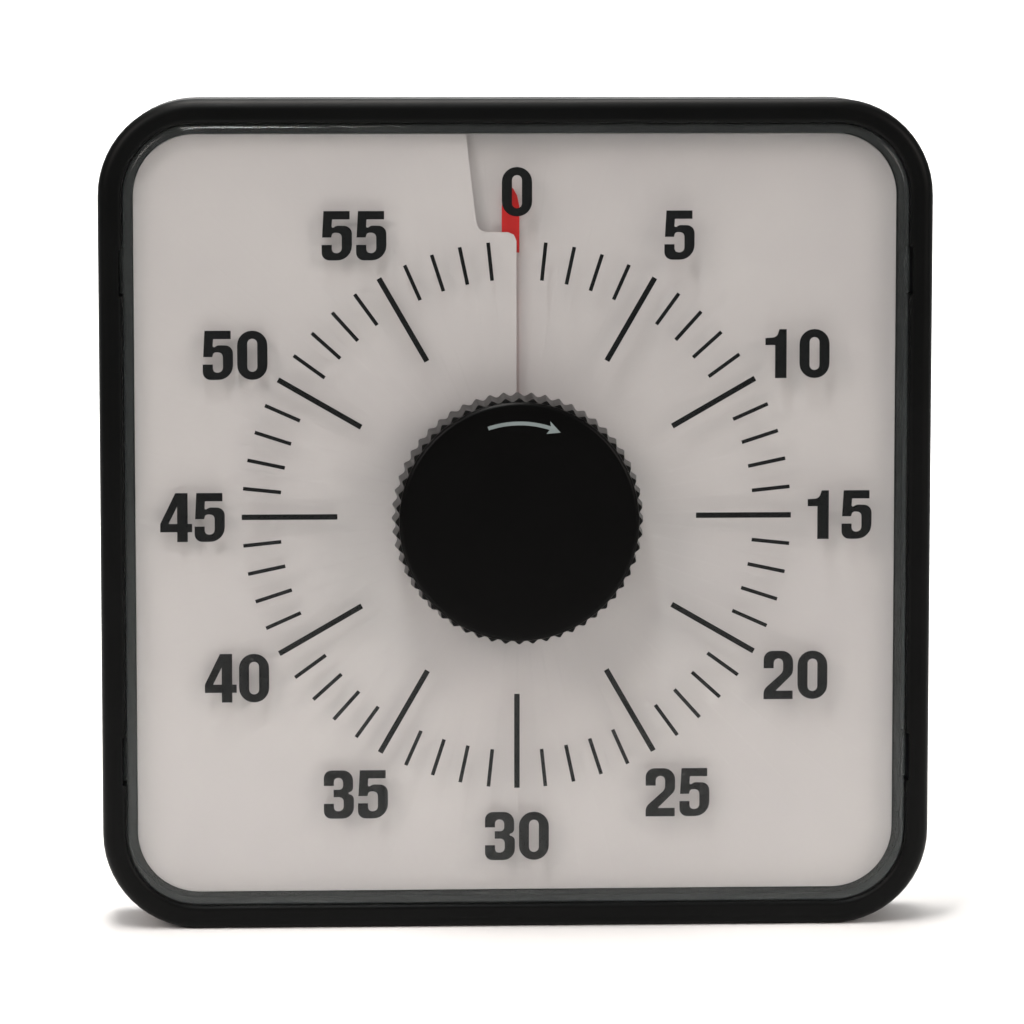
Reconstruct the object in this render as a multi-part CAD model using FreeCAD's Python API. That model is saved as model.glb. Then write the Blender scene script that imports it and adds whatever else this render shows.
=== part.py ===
import FreeCAD, Part

import math
import os

from FreeCAD import Vector

# Sixty-minute clockwork visual timer. Millimetres, +Z up, the dial faces -Y.
# The origin is under the middle of the case, on the surface that it stands on.

# Case
CASE_HALF = 95.0          # half the width and half the height
CASE_CORNER = 22.0        # corner radius seen from the front
CASE_FRONT = -9.0         # front of the rim
CASE_SPLIT = 12.0         # where the front frame meets the rear cover
CASE_BACK = 21.0
WALL = 2.5
AXIS_Z = CASE_HALF        # height of the knob's axis

# Window and clear cover
WINDOW_HALF = 89.5        # opening of the rim
WINDOW_CORNER = 16.5
COVER_GAP = 0.2
COVER_WALL = 2.0
COVER_FRONT = -9.5
COVER_BACK = 1.7
COVER_HOLE_R = 6.2
LEDGE_INNER = 84.5
LEDGE_THICK = 1.8
SNAP_HEIGHT = 56.0        # the snaps stand this far above and below the axis
SNAP_LENGTH = 11.0
SNAP_DEPTH = 1.1

# Dial plate, sheet and red disc. Sheet and disc climb one pitch towards the front in each clockwise turn.
PLATE_HALF = 87.1
PLATE_FRONT = -0.3
PLATE_THICK = 2.0
RIM_WALL = 2.8
FILM = 0.4
PITCH = 2.4
SHEET_LOW = -2.4          # middle of the sheet just right of 12 o'clock
DISC_GAP = 1.2            # the red disc lies this far behind the sheet at rest
SHEET_HOLE_R = 8.6
UNDERLAP = math.radians(10.0)
SECTOR = math.radians(5.0)
DISC_R = 62.0
DISC_BORE_R = 6.4
TAB_R = 75.0
HUB_R = 7.0

# Knob and spindle
KNOB_R = 28.7
KNOB_FACE_R = 28.0
KNOB_BACK = -10.2
KNOB_SHOULDER = -19.6
KNOB_FRONT = -21.0
KNOB_WALL = 2.4
KNOB_BOSS_R = 5.5
CAP_R = 27.2
FLUTES = 56
FLUTE_R = 1.3
FLUTE_OUT = 0.4
SPINDLE_R = 3.0
RUN = 0.05                # radial running clearance of every shaft

# Movement: two brass plates with the wheels between them
FRONT_PLATE = (3.2, 4.2)
REAR_PLATE = (15.0, 16.0)
PLATE_X = (-37.0, 27.0)
PLATE_Z = (-35.0, 21.0)
MODULE = 0.5
GREAT_TEETH = 60
SECOND_TEETH = 50
THIRD_TEETH = 40
PINION_TEETH = 10
ESCAPE_PINION_TEETH = 8
ESCAPE_TEETH = 12
ESCAPE_R = 4.5
SECOND_ANGLE = 240.0      # direction of the second arbor from the spindle
THIRD_ANGLE = 200.0
ESCAPE_ANGLE = 100.0
PIVOT_R = 0.7
ARBOR_R = 1.1
TOOTH_SLACK = 0.12        # taken off each tooth's thickness
PRESSURE = math.radians(20.0)
PALLET_RISE = 7.4
FORK_LENGTH = 8.0
IMPULSE_R = 1.5
PILLARS = ((-33.5, -31.5), (23.5, -31.5), (23.5, 17.5), (-33.5, 17.5))
MOUNT_SCREWS = ((-12.0, 17.0), (12.0, -30.0), (-34.0, -5.0))

# Alarm
HAMMER_PIVOT = (20.0, 8.0)
HAMMER_HEAD = (28.6, -8.0)
HAMMER_TAIL = (5.7, 2.2)
BELL_AT = (46.0, -8.0)
BELL_R = 15.0

# Back of the case
CASE_SCREW_AT = 81.5
MAGNET_R = 9.0
MAGNET_THICK = 3.0
MAGNETS = ((-64.0, -48.0), (64.0, -48.0), (-64.0, 48.0), (64.0, 48.0))
KEYHOLE_Z = 70.0
KEYHOLE_R = 4.5
STAND_HALF = 36.0
STAND_FOOT = 7.0
STAND_AXIS = (18.7, 54.0)  # Y and Z of the hinge pin
STAND_PIN_R = 1.5
Y_AXIS = Vector(0, 1, 0)


def rod(x, z, radius, y0, y1):
    """Cylinder along Y, placed from the knob's axis."""
    return Part.makeCylinder(radius, y1 - y0, Vector(x, y0, AXIS_Z + z), Y_AXIS)


def tube(x, z, outer, inner, y0, y1):
    return rod(x, z, outer, y0, y1).cut(rod(x, z, inner, y0 - 1, y1 + 1))


def block(x0, x1, y0, y1, z0, z1):
    """Box given by its sides, with heights from the knob's axis."""
    return Part.makeBox(x1 - x0, y1 - y0, z1 - z0, Vector(x0, y0, AXIS_Z + z0))


def polygon_prism(points, y0, y1):
    """Prism along Y over an outline of (x, z) points from the knob's axis."""
    corners = [Vector(x, y0, AXIS_Z + z) for x, z in points]
    face = Part.Face(Part.makePolygon(corners + corners[:1]))
    return face.extrude(Vector(0, y1 - y0, 0))


def round_block(half, radius, y0, y1):
    """Square block with round corners about the knob's axis."""
    solid = block(-half, half, y0, y1, -half, half)
    upright = [e for e in solid.Edges if abs(e.tangentAt(e.FirstParameter).y) > 0.9]
    return solid.makeFillet(radius, upright)


def round_ring(outer, outer_r, inner, inner_r, y0, y1):
    return round_block(outer, outer_r, y0, y1).cut(round_block(inner, inner_r, y0 - 1, y1 + 1))


def edges_at(solid, y, half=None):
    """Edges that lie in the plane at y, all of them or those of one outline."""
    found = []
    for edge in solid.Edges:
        box = edge.BoundBox
        if abs(box.YMin - y) > 0.01 or abs(box.YMax - y) > 0.01:
            continue
        reach = max(abs(box.XMin), abs(box.XMax), abs(box.ZMin - AXIS_Z), abs(box.ZMax - AXIS_Z))
        if half is None or abs(reach - half) < 0.05:
            found.append(edge)
    return found


def turned(solid, degrees, x=0.0, z=0.0):
    """Copy turned clockwise, seen from the front, about an axis along Y."""
    copy = solid.copy()
    copy.rotate(Vector(x, 0, AXIS_Z + z), Y_AXIS, degrees)
    return copy


def helicoid(inner, outer, start, end, rear, front):
    """Ramp about the knob's axis. Angles run clockwise from 12 o'clock; rear and front give Y at an angle."""
    count = max(1, round((end - start) / SECTOR))
    rows = []
    for i in range(count + 1):
        angle = start + (end - start) * i / count
        side = Vector(math.sin(angle), 0, math.cos(angle))
        row = {}
        for name, radius in (("in", inner), ("out", outer)):
            foot = side * radius + Vector(0, 0, AXIS_Z)
            row[name + "_rear"] = foot + Vector(0, rear(angle), 0)
            row[name + "_front"] = foot + Vector(0, front(angle), 0)
        rows.append(row)
    faces = []

    def face(*points):
        faces.append(Part.Face(Part.makePolygon(list(points) + [points[0]])))

    for a, b in zip(rows, rows[1:]):
        for level in ("_rear", "_front"):
            face(a["in" + level], a["out" + level], b["out" + level])
            face(a["in" + level], b["out" + level], b["in" + level])
        for edge in ("in", "out"):
            face(a[edge + "_rear"], b[edge + "_rear"], b[edge + "_front"], a[edge + "_front"])
    for row in (rows[0], rows[-1]):
        face(row["in_rear"], row["out_rear"], row["out_front"], row["in_front"])
    shell = Part.makeShell(faces)
    shell.sewShape()
    solid = Part.makeSolid(Part.Shell(shell.Faces))
    if solid.Volume < 0:
        solid.reverse()
    return solid


def ramp(low, offset):
    """Height of a film's face at an angle."""
    return lambda angle: low + offset - PITCH * angle / (2 * math.pi)


def film(low, inner, outer, start, end):
    return helicoid(inner, outer, start, end, ramp(low, FILM / 2), ramp(low, -FILM / 2))


def involute_half_angle(radius, pitch_r, teeth):
    """Half the angle that a tooth spans at a radius."""
    base = pitch_r * math.cos(PRESSURE)
    at_pitch = math.pi / 2 / teeth - TOOTH_SLACK / 2 / pitch_r
    if radius <= base:
        radius = base
    angle = math.acos(base / radius)
    involute = math.tan(angle) - angle
    return at_pitch + math.tan(PRESSURE) - PRESSURE - involute


def gear(x, z, teeth, addendum, dedendum, phase, y0, y1, bore):
    """Spur gear with one tooth centred on the phase angle, counterclockwise from +X seen from the front."""
    pitch_r = MODULE * teeth / 2
    tip = pitch_r + addendum * MODULE
    root = pitch_r - dedendum * MODULE
    points = []
    for i in range(teeth):
        centre = phase + 2 * math.pi * i / teeth
        left = [(r, centre - involute_half_angle(r, pitch_r, teeth)) for r in (root, pitch_r, tip)]
        right = [(r, 2 * centre - a) for r, a in reversed(left)]
        points += [(x + r * math.cos(a), z + r * math.sin(a)) for r, a in left + right]
    return polygon_prism(points, y0, y1).cut(rod(x, z, bore, y0 - 1, y1 + 1))


def wheel(x, z, teeth, phase, y0, y1, bore, spokes=0):
    """Brass wheel with round lightening holes."""
    solid = gear(x, z, teeth, 0.6, 1.05, phase, y0, y1, bore)
    rim = MODULE * teeth / 2 - 2.2
    hub = bore + 1.6
    hole_r = (rim - hub) / 2
    for i in range(spokes):
        angle = 2 * math.pi * (i + 0.5) / spokes
        reach = (rim + hub) / 2
        hole = rod(x + reach * math.cos(angle), z + reach * math.sin(angle), hole_r, y0 - 1, y1 + 1)
        solid = solid.cut(hole)
    return solid


def pinion(x, z, teeth, driver_angle, y0, y1):
    """Steel pinion cut on its own arbor, with a pivot in each plate and a tooth gap towards its driver."""
    phase = math.radians(driver_angle + 180.0) + math.pi / teeth
    solid = gear(x, z, teeth, 0.8, 0.9, phase, y0, y1, 0.4)
    solid = solid.fuse(rod(x, z, ARBOR_R, FRONT_PLATE[1] + 0.2, REAR_PLATE[0] - 0.2))
    return solid.fuse(rod(x, z, PIVOT_R, FRONT_PLATE[0] + 0.1, REAR_PLATE[1] - 0.1)).removeSplitter()


def screw(x, z, head_r, head, shank_r, shank):
    """Cheese-head screw along Y with a cross slot. head and shank are their lowest and highest y."""
    outer = head[1] if head[1] > shank[1] else head[0]
    depth = 0.6 if outer == head[1] else -0.6
    solid = rod(x, z, head_r, *head).fuse(rod(x, z, shank_r, *shank))
    y0, y1 = sorted((outer - depth, outer + depth))
    for wide, high in ((0.35, head_r * 0.7), (head_r * 0.7, 0.35)):
        solid = solid.cut(block(x - wide, x + wide, y0, y1, z - high, z + high))
    return solid


def polar(angle_degrees, radius, x=0.0, z=0.0):
    angle = math.radians(angle_degrees)
    return (x + radius * math.cos(angle), z + radius * math.sin(angle))


SECOND_AT = polar(SECOND_ANGLE, MODULE * (GREAT_TEETH + PINION_TEETH) / 2)
THIRD_AT = polar(THIRD_ANGLE, MODULE * (SECOND_TEETH + PINION_TEETH) / 2, *SECOND_AT)
ESCAPE_AT = polar(ESCAPE_ANGLE, MODULE * (THIRD_TEETH + ESCAPE_PINION_TEETH) / 2, *THIRD_AT)
PALLET_AT = (ESCAPE_AT[0], ESCAPE_AT[1] + PALLET_RISE)
BALANCE_AT = (PALLET_AT[0], PALLET_AT[1] + FORK_LENGTH + IMPULSE_R)


def front_frame():
    """Front half of the case: round-edged rim, outer wall, cover ledge, snap slots and four screw posts."""
    outer = round_block(CASE_HALF, CASE_CORNER, CASE_FRONT, CASE_SPLIT)
    outer = outer.makeFillet(2.6, edges_at(outer, CASE_FRONT))
    solid = outer.cut(round_block(WINDOW_HALF, WINDOW_CORNER, CASE_FRONT - 1, COVER_BACK))
    solid = solid.cut(round_block(LEDGE_INNER, WINDOW_CORNER - 5, COVER_BACK - 1, CASE_SPLIT + 1))
    inner = CASE_HALF - WALL
    solid = solid.cut(round_block(inner, CASE_CORNER - WALL, COVER_BACK + LEDGE_THICK, CASE_SPLIT + 1))
    solid = solid.makeFillet(1.1, edges_at(solid, CASE_FRONT, WINDOW_HALF))
    for sx in (-1, 1):
        for sz in (-1, 1):
            z = sz * SNAP_HEIGHT
            x0, x1 = sorted((sx * (WINDOW_HALF - 1), sx * (WINDOW_HALF + SNAP_DEPTH)))
            solid = solid.cut(block(x0, x1, CASE_FRONT - 1, -1.0, z - SNAP_LENGTH / 2, z + SNAP_LENGTH / 2))
            at = (sx * CASE_SCREW_AT, sz * CASE_SCREW_AT)
            post = rod(*at, 4.0, COVER_BACK + 0.4, CASE_SPLIT)
            solid = solid.fuse(post).cut(rod(*at, 1.3, CASE_SPLIT - 8.0, CASE_SPLIT + 1))
    return solid.removeSplitter()


def clear_cover():
    """Clear tray with rounded edges, side walls, four snaps and the hole for the knob's stem."""
    half = WINDOW_HALF - COVER_GAP
    corner = WINDOW_CORNER - COVER_GAP
    solid = round_block(half, corner, COVER_FRONT, COVER_BACK)
    solid = solid.makeFillet(1.6, edges_at(solid, COVER_FRONT))
    inside = round_block(half - COVER_WALL, corner - COVER_WALL, COVER_FRONT + COVER_WALL, COVER_BACK + 1)
    solid = solid.cut(inside.makeFillet(0.8, edges_at(inside, COVER_FRONT + COVER_WALL)))
    length = SNAP_LENGTH / 2 - 0.3
    for sx in (-1, 1):
        for z in (-SNAP_HEIGHT, SNAP_HEIGHT):
            x0, x1 = sorted((sx * (half - 0.5), sx * (half + 1.0)))
            solid = solid.fuse(block(x0, x1, -3.2, -1.3, z - length, z + length))
    return solid.cut(rod(0, 0, COVER_HOLE_R, COVER_FRONT - 1, 0)).removeSplitter()


def dial_plate():
    """White plate behind the dial. Its rim follows the sheet's slope and holds its edge."""
    back = PLATE_FRONT + PLATE_THICK
    solid = round_block(PLATE_HALF, WINDOW_CORNER - 2.4, PLATE_FRONT, back)
    inner = PLATE_HALF - RIM_WALL
    rim = round_ring(PLATE_HALF, WINDOW_CORNER - 2.4, inner, WINDOW_CORNER - 5,
                     COVER_FRONT + 3, PLATE_FRONT + 0.5)
    clear = ramp(SHEET_LOW, FILM / 2 + 0.03)
    above = helicoid(40, 130, 0, 2 * math.pi, clear, lambda angle: -30.0)
    under = helicoid(40, 130, -UNDERLAP - 0.02, 0.01, clear, lambda angle: -30.0)
    solid = solid.fuse(rim.cut(above).cut(under))
    for x, z in MOUNT_SCREWS:
        solid = solid.fuse(rod(x, z, 3.5, back - 0.5, FRONT_PLATE[0]))
        solid = solid.cut(rod(x, z, 1.25, 0.2, FRONT_PLATE[0] + 1))
    solid = solid.fuse(rod(*BELL_AT, 4.0, back - 0.5, back + 1.0))
    solid = solid.cut(rod(*BELL_AT, 1.6, 0.2, back + 2.0))
    return solid.cut(rod(0, 0, SPINDLE_R + 0.6, -2, back + 1)).removeSplitter()


def dial_sheet():
    """White sheet with a slit at 12 o'clock. The lip left of the slit lies one pitch in front of the other."""
    solid = film(SHEET_LOW, SHEET_HOLE_R, 130, -UNDERLAP, 2 * math.pi)
    solid = solid.common(round_block(PLATE_HALF - 0.1, WINDOW_CORNER - 2.5, -20, 10))
    notch = polygon_prism([(0.5, 64.7), (-7.0, 64.7), (-8.4, 65.3), (-9.1, 66.8), (-11.9, 90.0), (0.5, 90.0)],
                          SHEET_LOW - PITCH - 1.0, SHEET_LOW - PITCH / 2)
    corner = polygon_prism([(0.5, 62.7), (0.0, 62.7), (-0.6, 64.1), (-2.0, 64.75), (-2.0, 66.0), (0.5, 66.0)],
                           SHEET_LOW - PITCH - 1.0, SHEET_LOW - PITCH / 2)
    return solid.cut(notch).cut(corner)


def red_disc():
    """Red sheet disc of one turn with a pointer tab at its leading edge."""
    lead = 2 * math.pi - math.radians(0.4)
    solid = film(SHEET_LOW + DISC_GAP, DISC_BORE_R, DISC_R, math.radians(0.6), lead)
    blank = film(SHEET_LOW + DISC_GAP, DISC_R - 8, TAB_R + 1, lead - 3 * SECTOR, lead + SECTOR)
    tab = polygon_prism([(-3.3, DISC_R - 2), (0.7, DISC_R - 2), (0.7, 70.5), (0.2, 73.0), (-0.7, 74.6),
                         (-1.3, TAB_R), (-2.0, 74.7), (-2.8, 73.2), (-3.3, 70.5)], -20, 10)
    inner = block(-3.3, -0.4, -20, 10, DISC_R - 6, DISC_R - 2)
    return solid.fuse(blank.common(tab.fuse(inner)))


def disc_hub():
    """White hub that carries the red disc along the spindle."""
    solid = tube(0, 0, HUB_R, SPINDLE_R + RUN, -4.4, -0.6)
    seat = SHEET_LOW + DISC_GAP
    groove = helicoid(DISC_BORE_R - 0.05, 20, math.radians(0.3), 2 * math.pi - math.radians(0.2),
                      ramp(seat, FILM / 2 + 0.02), ramp(seat, -FILM / 2 - 0.02))
    return solid.cut(groove)


def knob_body():
    """Cup-shaped knob with drafted flutes and a stem that passes through the cover."""
    height = KNOB_BACK - KNOB_SHOULDER
    solid = Part.makeCone(KNOB_FACE_R, KNOB_R, height, Vector(0, KNOB_SHOULDER, AXIS_Z), Y_AXIS)
    solid = solid.cut(rod(0, 0, KNOB_FACE_R - KNOB_WALL, KNOB_SHOULDER + 2.4, KNOB_BACK + 1))
    stem = rod(0, 0, KNOB_BOSS_R, KNOB_SHOULDER + 1, -6.9)
    solid = solid.fuse(stem)
    draft = math.degrees(math.atan((KNOB_R - KNOB_FACE_R) / height))
    cutter = Part.makeCylinder(FLUTE_R, height + 8, Vector(0, KNOB_SHOULDER - 4, 0), Y_AXIS)
    cutter.rotate(Vector(0, KNOB_BACK, 0), Vector(1, 0, 0), draft)
    cutter.translate(Vector(0, 0, AXIS_Z + KNOB_R + FLUTE_OUT))
    cutters = [turned(cutter, 360.0 * i / FLUTES) for i in range(FLUTES)]
    solid = solid.cut(Part.makeCompound(cutters))
    solid = solid.cut(rod(0, 0, CAP_R - 2.6, KNOB_SHOULDER - 1, KNOB_SHOULDER + 1.4))
    solid = solid.cut(rod(0, 0, 3.6, KNOB_SHOULDER - 1, -16.8)).cut(rod(0, 0, 1.5, -18, -15))
    return solid.cut(spindle_bar(SPINDLE_R + 0.02, -16.0, -5.0, 2.42))


def spindle_bar(radius, y0, y1, flat):
    """Round bar with a flat on its right side."""
    return rod(0, 0, radius, y0, y1).cut(block(flat, radius + 1, y0 - 1, y1 + 1, -radius - 1, radius + 1))


def knob_cap():
    cap = rod(0, 0, CAP_R, KNOB_FRONT, KNOB_SHOULDER)
    cap = cap.makeFillet(1.1, edges_at(cap, KNOB_FRONT))
    return cap.fuse(rod(0, 0, CAP_R - 2.7, KNOB_SHOULDER - 0.2, KNOB_SHOULDER + 1.2)).removeSplitter()


def spindle():
    """Steel spindle, flatted in the knob and round in the plates."""
    solid = spindle_bar(SPINDLE_R, -15.95, -6.8, 2.4).fuse(rod(0, 0, SPINDLE_R, -6.8, REAR_PLATE[1] + 1.0))
    return solid.cut(rod(0, 0, 1.25, -17.0, -9.0)).removeSplitter()


def mainspring():
    """Flat coiled spring: the strip's turns from near the spindle out to its anchor pillar."""
    turns = 7
    first = 4.2
    last = 12.4
    strip = 0.35
    steps = 24 * turns
    centre = []
    for i in range(steps + 1):
        angle = 2 * math.pi * i / 24
        centre.append((angle, first + (last - first) * i / steps))
    inner = [(r * math.cos(a), r * math.sin(a)) for a, r in centre]
    outer = [((r + strip) * math.cos(a), (r + strip) * math.sin(a)) for a, r in reversed(centre)]
    return polygon_prism(inner + outer, 9.9, 13.2)


def ratchet_wheel():
    teeth = 16
    points = []
    for i in range(teeth):
        angle = 360.0 * i / teeth
        points.append(polar(angle, 5.4))
        points.append(polar(angle + 2.0, 4.5))
    return polygon_prism(points, 8.2, 9.2).cut(rod(0, 0, SPINDLE_R + 0.02, 7, 10))


def click():
    """Sprung pawl on the great wheel that drops into the ratchet wheel."""
    at = polar(70.0, 9.6)
    tip = polar(36.0, 5.9)
    solid = rod(*at, 1.5, 8.0, 9.0)
    dx, dz = tip[0] - at[0], tip[1] - at[1]
    length = math.hypot(dx, dz)
    nx, nz = -dz / length, dx / length
    arm = [(at[0] + 1.2 * nx, at[1] + 1.2 * nz), (tip[0] + 0.3 * nx, tip[1] + 0.3 * nz),
           (tip[0] - 0.3 * nx, tip[1] - 0.3 * nz), (at[0] - 1.2 * nx, at[1] - 1.2 * nz)]
    return solid.fuse(polygon_prism(arm, 8.0, 9.0)).removeSplitter()


def great_wheel():
    angle = math.radians(SECOND_ANGLE)
    return wheel(0, 0, GREAT_TEETH, angle, 6.8, 7.8, SPINDLE_R + 0.02, 5)


def second_wheel():
    return wheel(*SECOND_AT, SECOND_TEETH, math.radians(THIRD_ANGLE), 5.0, 5.8, ARBOR_R + 0.02, 4)


def third_wheel():
    return wheel(*THIRD_AT, THIRD_TEETH, math.radians(ESCAPE_ANGLE), 9.0, 9.8, ARBOR_R + 0.02, 3)


def escape_wheel():
    """Wheel of pointed teeth that lean the way it turns."""
    x, z = ESCAPE_AT
    points = []
    for i in range(ESCAPE_TEETH):
        angle = 360.0 * i / ESCAPE_TEETH
        points.append(polar(angle, ESCAPE_R, x, z))
        points.append(polar(angle + 7.0, ESCAPE_R - 1.3, x, z))
        points.append(polar(angle + 19.0, ESCAPE_R - 1.3, x, z))
    return polygon_prism(points, 11.6, 12.4).cut(rod(x, z, ARBOR_R + 0.02, 11, 13))


def pallet_lever():
    """Anchor with two pin arms beside the escape wheel and a fork that takes the balance's pin."""
    x, z = PALLET_AT
    solid = rod(x, z, 1.9, 11.6, 12.4)
    for side in (-1, 1):
        foot = (x + side * 3.55, z - 3.46)
        arm = [(x + side * 0.3, z - 0.9), (foot[0] + 0.1 * side, foot[1] - 0.2),
               (foot[0] + side, foot[1] + 0.4), (x + side * 1.6, z + 0.6)]
        if side < 0:
            arm = arm[::-1]
        solid = solid.fuse(polygon_prism(arm, 11.6, 12.4)).fuse(rod(*foot, 0.35, 11.0, 12.4))
        tine0, tine1 = sorted((x + side * 0.5, x + side * 1.2))
        solid = solid.fuse(block(tine0, tine1, 11.6, 12.4, z + FORK_LENGTH - 1.6, z + FORK_LENGTH + 0.35))
    solid = solid.fuse(block(x - 1.2, x + 1.2, 11.6, 12.4, z + 1.0, z + FORK_LENGTH - 1.4))
    return solid.cut(rod(x, z, 0.9 + RUN, 11, 13)).removeSplitter()


def balance_wheel():
    """Rimmed wheel with two arms and the impulse pin."""
    x, z = BALANCE_AT
    solid = tube(x, z, 7.0, 5.6, 13.0, 13.8)
    solid = solid.fuse(block(x - 6.0, x + 6.0, 13.0, 13.8, z - 0.9, z + 0.9)).fuse(rod(x, z, 2.2, 13.0, 13.8))
    solid = solid.fuse(rod(x, z - IMPULSE_R, 0.3, 11.4, 13.4))
    return solid.cut(rod(x, z, 0.82, 12, 15)).removeSplitter()


def staff(x, z, y0, y1):
    return rod(x, z, 0.8, y0, y1).fuse(rod(x, z, PIVOT_R, FRONT_PLATE[0] + 0.1, REAR_PLATE[1] - 0.1))


def hammer():
    """Lever with a striking head towards the bell and a tail towards the strike cam."""
    x, z = HAMMER_PIVOT
    solid = rod(x, z, 2.6, 13.8, 14.6)
    for end, near, far in ((HAMMER_HEAD, 1.6, 1.1), (HAMMER_TAIL, 1.4, 0.5)):
        dx, dz = end[0] - x, end[1] - z
        length = math.hypot(dx, dz)
        nx, nz = -dz / length, dx / length
        arm = [(x + near * nx, z + near * nz), (end[0] + far * nx, end[1] + far * nz),
               (end[0] - far * nx, end[1] - far * nz), (x - near * nx, z - near * nz)]
        solid = solid.fuse(polygon_prism(arm, 13.8, 14.6))
    solid = solid.fuse(rod(*HAMMER_HEAD, 2.0, 9.0, 14.6)).fuse(rod(*HAMMER_TAIL, 0.5, 13.8, 14.6))
    return solid.cut(rod(x, z, 1.0 + RUN, 13, 16)).removeSplitter()


def strike_cam():
    """Round cam with one drop for the hammer's tail."""
    solid = rod(0, 0, 4.9, 13.7, 14.7).cut(rod(0, 0, SPINDLE_R + 0.02, 13, 16))
    return solid.cut(polygon_prism([(3.6, 0.8), (6.0, 0.8), (6.0, 3.4), (4.4, 2.2)], 13, 16))


def bell():
    """Pressed gong, open towards the dial."""
    x, z = BELL_AT
    outline = [(1.7, 14.0), (9.0, 13.6), (13.0, 11.6), (BELL_R, 7.4), (BELL_R, 5.6), (BELL_R - 0.9, 5.6),
               (BELL_R - 0.9, 7.2), (12.4, 10.9), (8.7, 12.7), (1.7, 13.1)]
    points = [Vector(x + r, y, AXIS_Z + z) for r, y in outline]
    face = Part.Face(Part.makePolygon(points + points[:1]))
    return face.revolve(Vector(x, 0, AXIS_Z + z), Y_AXIS, 360)


def bell_post():
    x, z = BELL_AT
    solid = rod(x, z, 3.2, PLATE_FRONT + PLATE_THICK + 1.0, 13.0).fuse(rod(x, z, 1.5, 0.4, 4.0))
    return solid.cut(rod(x, z, 0.9, 8.0, 14.0)).removeSplitter()


def movement_plate(span):
    """Brass plate with pivot holes, lightened between them."""
    solid = Part.makeBox(PLATE_X[1] - PLATE_X[0], span[1] - span[0], PLATE_Z[1] - PLATE_Z[0],
                         Vector(PLATE_X[0], span[0], AXIS_Z + PLATE_Z[0]))
    upright = [e for e in solid.Edges if abs(e.tangentAt(e.FirstParameter).y) > 0.9]
    solid = solid.makeFillet(5.0, upright)
    holes = [(0, 0, SPINDLE_R + RUN), (*SECOND_AT, PIVOT_R + RUN), (*THIRD_AT, PIVOT_R + RUN),
             (*ESCAPE_AT, PIVOT_R + RUN), (*PALLET_AT, PIVOT_R + 0.02), (*BALANCE_AT, PIVOT_R + RUN),
             (8.0, -24.0, 3.5), (17.0, -17.0, 3.5), (-8.0, 13.0, 3.0)]
    for x, z, radius in holes:
        solid = solid.cut(rod(x, z, radius, span[0] - 1, span[1] + 1))
    return solid


def front_plate():
    solid = movement_plate(FRONT_PLATE)
    for x, z in PILLARS + MOUNT_SCREWS:
        solid = solid.cut(rod(x, z, 1.25, FRONT_PLATE[0] - 1, FRONT_PLATE[1] + 1))
    return solid


def rear_plate():
    solid = movement_plate(REAR_PLATE)
    for x, z in PILLARS:
        solid = solid.cut(rod(x, z, 1.0, REAR_PLATE[0] - 1, REAR_PLATE[1] + 1))
    return solid.cut(rod(*HAMMER_PIVOT, 1.02, REAR_PLATE[0] - 1, REAR_PLATE[1] + 1))


def lever_staff():
    solid = rod(*PALLET_AT, 0.9, FRONT_PLATE[1] + 0.2, REAR_PLATE[0] - 0.2)
    return solid.fuse(rod(*PALLET_AT, PIVOT_R, FRONT_PLATE[0], REAR_PLATE[1]))


def pillar(x, z):
    solid = rod(x, z, 2.4, FRONT_PLATE[1], REAR_PLATE[0])
    solid = solid.fuse(rod(x, z, 1.2, FRONT_PLATE[0], FRONT_PLATE[1] + 1))
    return solid.cut(rod(x, z, 0.95, REAR_PLATE[0] - 5, REAR_PLATE[0] + 1))


def hinge_bar(radius, beyond):
    """Bar along the stand's hinge axis, longer than the stand by a length at each end."""
    length = 2 * (STAND_HALF + beyond)
    return Part.makeCylinder(radius, length, Vector(-length / 2, *STAND_AXIS), Vector(1, 0, 0))


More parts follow.
